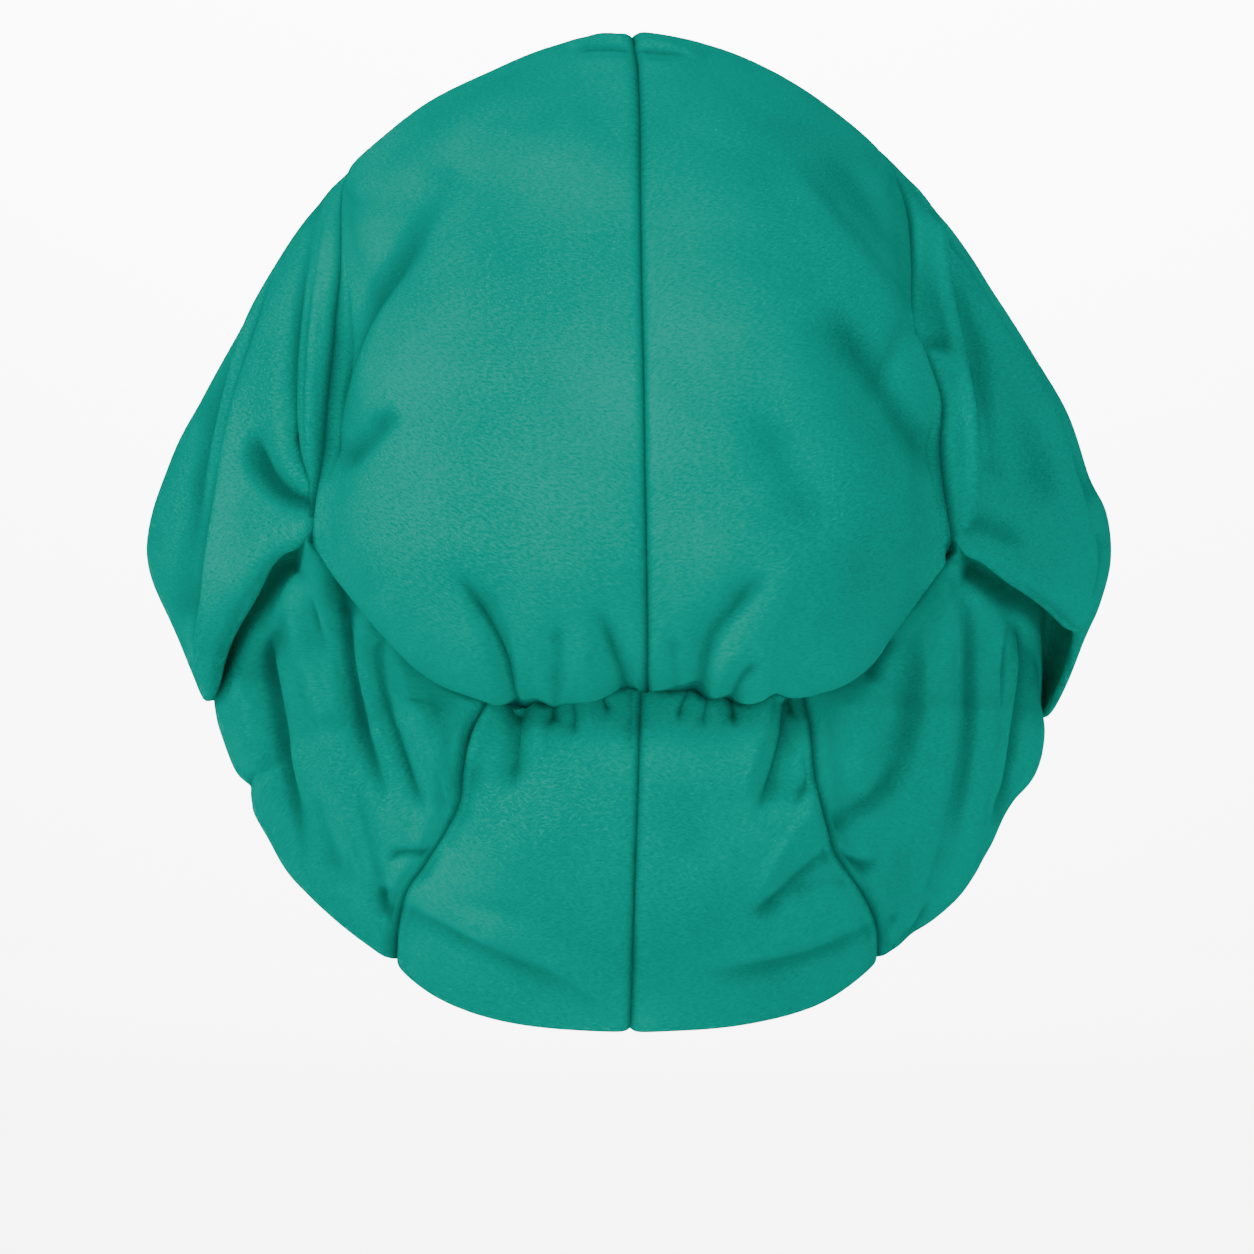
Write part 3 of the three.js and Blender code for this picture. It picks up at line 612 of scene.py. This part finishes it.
NAPE_FOLDS = {
    LEFT: [
        ([(408, 885), (467, 917), (521, 943), (584, 977), (622, 1002)], 26, 8, 2.4, 0.5, 0.2),
        ([(400, 902), (460, 930), (521, 958), (584, 990)], 9, 20, -2.0, 0.6, 0.1),
        ([(530, 704), (524, 730), (520, 765), (508, 800)], 13, 15, -3.6, 1.0, 0.0),
        ([(541, 700), (541, 728), (540, 765)], 9, 6, 1.9, 1.0, 0.0),
        ([(556, 698), (555, 712), (552, 728)], 8, 8, -3.0, 1.0, 0.0),
        ([(508, 700), (516, 714), (532, 718)], 6, 7, -2.2, 1.0, 0.0),
        ([(575, 698), (577, 716), (574, 740)], 7, 7, -1.6, 1.0, 0.0),
        ([(602, 690), (606, 702), (612, 714)], 6, 6, -1.9, 1.0, 0.0),
        ([(588, 692), (590, 712), (590, 735)], 7, 7, 1.0, 1.0, 0.0),
        ([(488, 706), (477, 740), (474, 770)], 10, 10, 1.6, 0.5, 0.0),
        ([(484, 745), (474, 790), (458, 832)], 30, 14, -2.0, 0.0, 0.6),
        ([(500, 742), (492, 790), (478, 830)], 16, 14, 1.2, 0.0, 0.0),
        ([(636, 692), (636, 712), (634, 760)], 6, 12, -1.8, 1.0, 0.0),
        ([(440, 840), (430, 862), (415, 885)], 12, 8, -2.0, 0.4, 0.6),
        ([(600, 760), (560, 810), (500, 860)], 30, 34, 1.0, 0.0, 0.0),
        ([(430, 905), (480, 900), (540, 905)], 20, 20, -0.9, 0.2, 0.0),
    ],
    RIGHT: [
        ([(872, 905), (833, 921), (770, 942), (686, 955)], 9, 24, 2.2, 0.4, 0.1),
        ([(866, 926), (800, 950), (700, 972)], 18, 9, -1.8, 0.5, 0.0),
        ([(764, 694), (763, 716), (750, 758), (742, 800)], 5, 17, 2.2, 1.0, 0.0),
        ([(778, 700), (775, 735), (764, 778), (754, 820)], 20, 8, -4.4, 1.0, 0.0),
        ([(788, 698), (791, 706), (794, 720)], 8, 8, -2.6, 1.0, 0.0),
        ([(727, 696), (731, 708), (732, 726)], 7, 7, -3.0, 1.0, 0.0),
        ([(686, 690), (681, 702), (675, 724)], 6, 6, -2.2, 1.0, 0.0),
        ([(706, 697), (703, 708), (700, 732)], 6, 6, -1.5, 1.0, 0.0),
        ([(744, 698), (744, 720), (738, 745)], 7, 7, 1.2, 1.0, 0.0),
        ([(838, 842), (800, 864), (768, 895), (748, 922)], 18, 12, -3.2, 0.5, 0.0),
        ([(816, 790), (795, 824), (768, 866), (748, 910)], 14, 8, 1.8, 0.8, 0.0),
        ([(812, 740), (806, 778), (790, 812)], 9, 13, -2.2, 0.4, 0.0),
        ([(690, 760), (686, 820), (700, 880)], 28, 30, -0.8, 0.0, 0.0),
        ([(858, 880), (820, 880), (780, 900)], 12, 12, -1.0, 0.4, 0.0),
    ],
}


def nape_seam(share, side):
    """The seam from the elastic's corner (0) to the hem's corner (1)."""
    (out_top, top), (out_end, end) = ELASTIC_CORNER[side], NAPE_CORNER[side]
    place = place_of(NAPE_SEAM["down"], share)
    height = lerp(top, end, np.asarray(share, float))
    out = lerp(out_top, out_end, along(NAPE_SEAM[SIDE_NAME[side]], place))
    return on_lower(height, lower_turn(height, out, side), side)


def nape_panel(side):
    rows = shares(NAPE_ROWS, 0.25, 0.45)[:, None]
    columns = shares(NAPE_COLUMNS, 0.25, 0.25)[None, :]
    top = elastic_line(columns, side)[..., 2]
    hem = NAPE_CORNER[side][1] * lerp(columns**2, columns**6, 0.5)  # rises late towards its corner
    height = lerp(top, hem, rows)
    out = np.abs(nape_seam(rows, side)[..., 0]) * columns
    points = on_lower(height, lower_turn(height, out, side), side)
    points[0] = elastic_line(columns[0], side)
    points = stray(points, columns, "nape")
    normal = facing(smooth(points, 4), -side)
    lift = folded(points, normal, NAPE_FOLDS[side])
    lift += 0.3 * ripple(points, length=40, seed=11 + side)
    from_centre, from_side = run_length(points, 1)
    from_elastic, from_hem = run_length(points, 0)
    nearest = np.minimum(np.minimum(from_side, from_centre), from_elastic)
    lift *= ease(np.minimum(from_side, from_centre) / FLAT_AT_SEAM) * ease(from_elastic / FLAT_AT_PLEATS)
    lift = smooth(lift[..., None], 2)[..., 0]
    # Painted shade in the folds' troughs and along the seams, and painted highlight on the crests
    hollow = hollows(lift, nearest)
    lift -= np.exp(-((from_hem / HEM_ROUND) ** 2))
    points = points + normal * lift[..., None] + turned_in(points, nearest)
    return cloth_piece(f"nape_panel_{SIDE_NAME[side]}_cloth", points, -side, hollow)


for side in (LEFT, RIGHT):
    panel = nape_panel(side)
    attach(panel, "root")
    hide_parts(f"nape_panel_{SIDE_NAME[side]}")


# Side panels: one large piece a side, from the back seam round to the seam down the front.
# The upper part puffs out and folds over where it is pinched into the back seam. The part below
# hangs in upright folds under that drape and ends in a turned hem.
DRAPE = {  # the drape's edge at each turn: its height, and how far it laps over the lower part
    "turn": [38, 45, 52, 60, 66, 72, 79, 86, 95, 108, 120, 150, 180],
    "left": [122, 123, 114.5, 107.5, 102, 96, 91, 88, 85.5, 86, 92, 113, 128],
    "left_lap": [0, 5, 10, 14, 16, 16, 13, 8, 3, 0, 0, 0, 0],
    "right": [120, 122, 118, 115, 113, 110.5, 108, 95, 81, 86, 93, 113, 128],
    "right_lap": [0, 5, 9, 13, 16, 17, 15, 9, 3, 0, 0, 0, 0],
}
ROLL = {  # across the drape's edge: share on the upper form, rise in millimetres, and share of the lap
    "upper": [1.0, 1.0, 0.99, 0.93, 0.74, 0.45, 0.20, 0.04, 0.0],
    "rise": [6.0, 2.2, -0.6, -1.2, -1.5, -2.1, -3.4, -6.0, -9.0],
    "lap": [-0.4, -0.48, -0.52, -0.46, -0.1, 0.42, 0.5, 0.3, 0.05],
}
HEM = {  # the hem's height at each turn, before it is fitted to the nape panel's corner
    "turn": [0, 30, 55, 75, 90, 120, 150, 180],
    "height": [0, 3, 17, 31, 42, 68, 94, 105],
}
ROLL_OPENS = 0.022  # share of the way to the front over which the drape opens out of the pinch
CAUGHT = 5.0  # the drape's edge is caught in this much of the back seam
UNDER_SHARE = 0.34  # the share of the lower part's rows that end on the seam under the pouch
UPPER_ROWS, ROLL_ROWS, LOWER_ROWS, SIDE_COLUMNS = 126, 36, 100, 186
SEEN_TURN, SEEN_FADE = 98, 16  # the turn from which, and over which, folds seen from behind die out
SEAM_SPREAD = 0.75  # the share that distance from the seam counts for its painted shade, which is wider here
GROOVE_WIDTH, UNDER_GROOVE = 1.1, 2.1  # of the seam, and how much wider it is under the pouch

# Folds of the drape and of the part below it, as on the back panels. Folds at the side that the view
# from behind doesn't show follow, at turns and heights.
DRAPE_FOLDS = {
    LEFT: [
        ([(336, 195), (318, 330), (315, 440), (322, 500)], 7, 7, 2.6, 0.2, 0.7),
        ([(322, 205), (303, 330), (302, 420), (319, 494)], 8, 10, -2.6, 0.2, 0.9),
        ([(324, 192), (268, 302), (232, 430), (216, 552), (204, 638), (201, 662), (208, 690)],
         30, 7, 4.2, 0.1, 0.9),
        ([(300, 212), (246, 330), (208, 470), (196, 600)], 10, 26, -2.6, 0.1, 0.3),
        ([(255, 425), (270, 468), (292, 493), (321, 508)], 12, 17, -5.6, 0.1, 1.0),
        ([(296, 420), (303, 458), (321, 488)], 8, 8, -2.2, 0.0, 0.9),
        ([(285, 300), (283, 400), (297, 465), (318, 499)], 12, 12, 2.0, 0.0, 0.6),
        ([(318, 524), (280, 545), (245, 580), (220, 622)], 12, 14, 2.0, 0.3, 0.3),
        ([(252, 455), (244, 520), (228, 585)], 30, 22, -0.7, 0.0, 0.0),
        ([(200, 400), (178, 480), (168, 540)], 20, 20, 1.2, 0.0, 0.0),
    ],
    RIGHT: [
        ([(915, 190), (935, 235), (945, 295), (955, 345), (963, 400), (967, 450), (966, 500), (958, 520)],
         8, 8, 3.2, 0.2, 0.7),
        ([(935, 215), (956, 300), (974, 380), (984, 470)], 16, 8, -2.4, 0.2, 0.3),
        ([(938, 236), (980, 305), (1020, 370), (1050, 420), (1070, 480), (1085, 535), (1087, 570),
          (1082, 606)], 9, 34, 4.8, 0.8, 0.7),
        ([(952, 225), (1010, 310), (1062, 400), (1088, 460), (1104, 520)], 22, 10, -2.2, 0.1, 0.0),
        ([(968, 320), (1008, 400), (1036, 470), (1046, 540)], 34, 30, -1.1, 0.0, 0.0),
        ([(955, 522), (985, 530), (1026, 556)], 16, 14, -1.0, 1.0, 0.0),
        ([(975, 548), (1015, 572), (1050, 594), (1070, 612)], 12, 12, 1.2, 0.2, 0.2),
        ([(1100, 480), (1098, 540), (1092, 600)], 10, 8, 1.6, 0.0, 0.3),
        ([(954, 348), (942, 350), (926, 352)], 7, 8, -1.0, 0.0, 1.0),
        ([(958, 362), (944, 364), (930, 362)], 6, 7, 0.9, 0.0, 1.0),
    ],
}
LOWER_FOLDS = {
    LEFT: [
        ([(226, 620), (243, 690), (256, 741), (263, 796)], 9, 26, 3.2, 0.3, 0.5),
        ([(272, 580), (268, 635), (275, 690), (285, 750), (297, 815), (314, 890)], 22, 13, -6.0, 0.9, 0.0),
        ([(290, 565), (302, 635), (318, 690), (336, 750), (350, 805), (364, 860), (375, 906), (393, 945)],
         7, 11, 3.4, 0.6, 0.4),
        ([(312, 570), (322, 612), (331, 645), (342, 690)], 8, 8, -2.6, 0.6, 0.0),
        ([(318, 560), (328, 612), (334, 658), (341, 704), (352, 760)], 7, 8, 2.4, 0.6, 0.0),
        ([(336, 575), (348, 607), (355, 653), (364, 704), (378, 759), (396, 815)], 11, 12, -5.2, 0.6, 0.0),
        ([(358, 590), (367, 625), (370, 658), (379, 700), (397, 757), (412, 800)], 8, 9, 3.0, 0.6, 0.0),
        ([(376, 645), (390, 704), (412, 768), (430, 815)], 9, 11, -3.4, 0.6, 0.1),
        ([(390, 645), (419, 704), (445, 768), (452, 800)], 10, 10, 2.8, 0.6, 0.1),
        ([(427, 851), (408, 851), (386, 857)], 6, 8, -1.7, 1.0, 0.0),
        ([(424, 864), (404, 864), (388, 876)], 8, 8, 0.6, 0.6, 0.0),
        ([(386, 876), (388, 900), (392, 922)], 12, 15, -2.6, 0.2, 0.3),
        ([(264, 770), (254, 776), (246, 800)], 8, 12, -2.6, 0.8, 0.8),
        ([(320, 760), (332, 830), (352, 900)], 18, 20, -1.8, 0.0, 0.0),
        ([(470, 706), (458, 740), (452, 770)], 12, 10, 1.4, 0.5, 0.0),
    ],
    RIGHT: [
        ([(1002, 560), (996, 640), (990, 700), (978, 795), (969, 868)], 9, 30, 3.6, 0.0, 0.5),
        ([(1018, 596), (1014, 680), (1002, 780), (986, 850)], 18, 15, -4.6, 0.7, 0.0),
        ([(939, 588), (942, 684), (946, 730), (937, 800), (918, 887), (904, 930)], 10, 22, 2.9, 0.4, 0.5),
        ([(962, 590), (966, 690), (960, 775), (944, 850)], 18, 14, -3.0, 0.7, 0.0),
        ([(914, 590), (912, 680), (898, 750), (870, 800)], 22, 30, -2.8, 0.2, 0.2),
        ([(826, 826), (848, 808), (876, 788), (900, 750)], 20, 20, -2.6, 0.9, 0.0),
        ([(832, 838), (850, 842), (874, 846)], 5, 8, 1.6, 1.0, 0.0),
        ([(836, 850), (854, 858), (876, 872)], 10, 12, -2.2, 0.8, 0.0),
        ([(886, 640), (873, 665), (862, 692)], 10, 12, -2.6, 0.9, 0.0),
        ([(872, 690), (860, 750), (842, 790)], 14, 14, 1.3, 0.4, 0.0),
        ([(930, 890), (912, 922), (893, 944)], 9, 11, -2.4, 0.3, 0.4),
        ([(900, 900), (886, 924), (882, 950)], 9, 9, -1.2, 0.2, 0.4),
        ([(866, 862), (876, 890), (884, 920)], 10, 8, 1.4, 0.4, 0.2),
        ([(1040, 700), (1034, 750), (1016, 800)], 12, 14, 1.8, 0.0, 0.0),
    ],
}
MM_PER_TURN = 2.1  # along the cap's side
UPPER_FOLDS_FROM = 110  # the height above which a fold is the drape's
SIDE_FOLDS = [  # turn and height of its middle, slant, half width and half length, height of the fold
    (112, 150, 0.40, 9, 60, 2.6),
    (126, 165, 0.64, 12, 70, -2.4),
    (138, 140, 0.24, 8, 50, 2.0),
    (152, 175, 0.80, 14, 70, -2.2),
    (165, 150, 0.40, 9, 55, 1.6),
    (100, 62, -0.40, 9, 26, -1.5),
    (116, 72, -0.56, 9, 26, 1.4),
    (134, 88, -0.40, 9, 22, -1.2),
]


def side_panel(side):
    name = SIDE_NAME[side]
    upper_last = place_of(UPPER["height"], PINCH_HEIGHT[side])
    caught_share = 1 - place_of(UPPER["height"], PINCH_HEIGHT[side] + CAUGHT) / upper_last
    roll_last = len(ROLL["upper"]) - 1
    pinch, pinch_turn = side_seam(1.0, side)
    around = (shares(SIDE_COLUMNS, 0.7, 0.5) ** 1.9)[None, :]  # closest together at the back

    def to_front(turn):
        return lerp(turn, 180.0, around)

    def edge_row(k):
        """Rows across the drape's edge, k running through the entries of ROLL."""
        seam = side_seam(1 - caught_share * (1 - k / roll_last), side)[0]
        turn = to_front(pinch_turn)
        edge = look_up(DRAPE, "turn", turn, name)
        lap = np.maximum(look_up(DRAPE, "turn", turn, f"{name}_lap"), 0)
        opened = ease(around / ROLL_OPENS)
        height = lerp(seam[..., 2], edge + along(ROLL["rise"], k) + along(ROLL["lap"], k) * lap, opened)
        upper = on_upper(height, turn, side)
        lower = on_lower(height, to_front(lower_turn(PINCH_HEIGHT[side], abs(seam[0, 0, 0]), side)), side)
        return lerp(lower, upper, lerp(1.0, along(ROLL["upper"], k), opened)[..., None])

    # From the crown down to the drape's edge
    first = edge_row(np.zeros((1, 1)))
    share = (shares(UPPER_ROWS, 0.6, 1.0) * (1 - caught_share))[:, None]
    seam, seam_turn = side_seam(share, side)
    down = (CROWN_HEIGHT - seam[..., 2]) / (CROWN_HEIGHT - first[0, 0, 2])
    height = lerp(CROWN_HEIGHT, first[..., 2], down)
    upper_rows = on_upper(height, to_front(seam_turn), side)

    # Round that edge and in under it
    roll_rows = edge_row(np.linspace(0, roll_last, ROLL_ROWS)[1:, None])

    # And down to the hem, with the first column on the seams to the back and the nape panel
    last = roll_rows[-1:]
    j = np.linspace(0, 1, LOWER_ROWS)[1:, None]
    under = under_seam(np.clip(j / UNDER_SHARE, 0, 1), side)
    beside = nape_seam(np.clip((j - UNDER_SHARE) / (1 - UNDER_SHARE), 0, 1), side)
    seam = np.where((j < UNDER_SHARE)[..., None], under, beside)
    own = (last[0, 0, 2] - seam[..., 2]) / (last[0, 0, 2] - NAPE_CORNER[side][1])
    turn = lower_turn(seam[..., 2], seam[..., 0], side)
    follow = (1 - around) ** 4  # how far the rows follow the seam round
    turn = to_front(lower_turn(PINCH_HEIGHT[side], abs(pinch[0]), side)) + (turn - turn[0, 0]) * follow
    hem = look_up(HEM, "turn", turn[-1:], "height")
    front = HEM["height"][-1]
    hem = lerp(NAPE_CORNER[side][1], front, (hem - hem[0, 0]) / (front - hem[0, 0]))
    height = lerp(last[..., 2], hem, lerp(own, j, around))
    lower_rows = on_lower(height, turn, side)
    lower_rows = lower_rows + (seam - lower_rows[:, :1]) * ((1 - around) ** 3)[..., None]
    points = np.concatenate([upper_rows, roll_rows, lower_rows])
    layer = np.concatenate([  # 0 above the drape's edge, 1 where it ends under it, 2 at the hem
        np.zeros(len(upper_rows)),
        np.linspace(0, 1, len(roll_rows)),
        np.linspace(1, 2, len(lower_rows)),
    ])[:, None]

    # The joins between these rows are evened out, less and less within 6 mm of the back seam.
    points = lerp(points, smooth(points, 8), ease(run_length(points, 1)[0] / 6)[..., None])
    normal = facing(smooth(points, 3), -side)
    turn = np.degrees(np.arctan2(np.abs(points[..., 0]), -(points[..., 1] + CROWN_SETBACK)))
    behind = 1 - ease((turn - SEEN_TURN) / SEEN_FADE)
    upper_part = 1 - ease((layer - 0.03) / 0.22)
    lower_part = ease((layer - 1.0) / 0.1)
    lift = folded(points, normal, DRAPE_FOLDS[side], upper_part * behind)
    lift = lift + folded(points, normal, LOWER_FOLDS[side], lower_part * behind)
    for at, level, slant, width, length, high in SIDE_FOLDS:
        across = (turn - at) * MM_PER_TURN - (points[..., 2] - level) * slant
        up = (points[..., 2] - level) / length
        part = upper_part if level > UPPER_FOLDS_FROM else lower_part
        lift = lift + high * np.exp(-((across / width) ** 2) - up**4) * part
    lift = lift + 0.4 * ripple(points, length=50, seed=21 + side) * np.maximum(upper_part, lower_part)
    from_seam, from_front = run_length(points, 1)
    from_hem = run_length(points, 0)[1]
    nearest = np.minimum(from_seam, from_front)
    lift = lift * ease(nearest / FLAT_AT_SEAM)
    lift = smooth(lift[..., None], 1)[..., 0]
    # Painted shade in the folds' troughs and along the seams, and painted highlight on the crests
    hollow = hollows(lift, nearest * SEAM_SPREAD)
    lift = lift - np.exp(-((from_hem / HEM_ROUND) ** 2))
    under = np.concatenate([np.full(len(points) - len(j), -1.0), j[:, 0] / UNDER_SHARE])
    depth = under_depth(under)[:, None]
    width = GROOVE_WIDTH + UNDER_GROOVE * (depth - SEAM_DEPTH) / UNDER_DEPTH
    points = points + normal * lift[..., None] + turned_in(points, nearest, depth, width, pinch)
    return cloth_piece(f"side_panel_{name}_cloth", points, -side, hollow)


for side in (LEFT, RIGHT):
    panel = side_panel(side)
    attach(panel, "root")
    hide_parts(f"side_panel_{SIDE_NAME[side]}")


# Floor and backdrop: one plain sheet of white paper, far below the cap, which bends up behind it in a
# quarter round and runs on as a wall. Its sizes are metres.
PAPER_COLOUR = (0.93, 0.93, 0.93, 1)
FLOOR_LEVEL = -0.95
FLOOR_END, WALL_TOP = -4.5, 4.0
PAPER_HALF = 4.0
BEND_FROM, BEND_RADIUS = 3.6, 0.8
BEND_STEPS = 15
BEND_SPARE = 4  # the bend's end points repeat, so that the floor and the wall are shaded flat up to it
paper = bpy.data.materials.new("white_paper")
paper.use_nodes = True
paper.node_tree.nodes["Principled BSDF"].inputs["Base Color"].default_value = PAPER_COLOUR
paper.node_tree.nodes["Principled BSDF"].inputs["Roughness"].default_value = 0.9
profile = [(FLOOR_END, FLOOR_LEVEL)]
for step in range(-BEND_SPARE, BEND_STEPS + BEND_SPARE + 1):
    bend = math.radians(90 * max(0, min(1, step / BEND_STEPS)))
    rise = BEND_RADIUS * (1 - math.cos(bend))
    profile.append((BEND_FROM + BEND_RADIUS * math.sin(bend), FLOOR_LEVEL + rise))
profile.append((BEND_FROM + BEND_RADIUS, WALL_TOP))
verts = [(x, y, z) for y, z in profile for x in (-PAPER_HALF, PAPER_HALF)]
faces = [(2 * i, 2 * i + 1, 2 * i + 3, 2 * i + 2) for i in range(len(profile) - 1)]
sweep_mesh = bpy.data.meshes.new("paper_sweep")
sweep_mesh.from_pydata(verts, [], faces)
sweep_mesh.polygons.foreach_set("use_smooth", [True] * len(faces))
sweep_mesh.materials.append(paper)
sweep = bpy.data.objects.new("paper_sweep", sweep_mesh)
bpy.context.collection.objects.link(sweep)

# Studio light: an even white surround, a soft disc to the left, a higher one nearer to the camera, and
# one that lights the paper behind the cap.
world = bpy.data.worlds.new("studio")
world.use_nodes = True
world.node_tree.nodes["Background"].inputs["Color"].default_value = (1, 1, 1, 1)
world.node_tree.nodes["Background"].inputs["Strength"].default_value = 0.44
bpy.context.scene.world = world


def soft_light(name, place, target, size, power):
    data = bpy.data.lights.new(name, "AREA")
    data.shape = "DISK"
    data.size = size
    data.energy = power
    light = bpy.data.objects.new(name, data)
    light.location = place
    way = np.array(target) - np.array(place)
    flat = math.hypot(way[0], way[1])
    light.rotation_euler = (math.atan2(flat, -way[2]), 0, math.atan2(way[1], way[0]) - math.pi / 2)
    bpy.context.collection.objects.link(light)


soft_light("key", (-2.0, -1.7, 1.25), (0, -0.05, 0.05), 0.8, 32)
soft_light("front", (0.8, -2.3, 1.8), (0, -0.05, 0.05), 1.0, 26)
soft_light("paper_light", (0, 3.0, 1.5), (0, 4.4, 0.3), 1.2, 420)
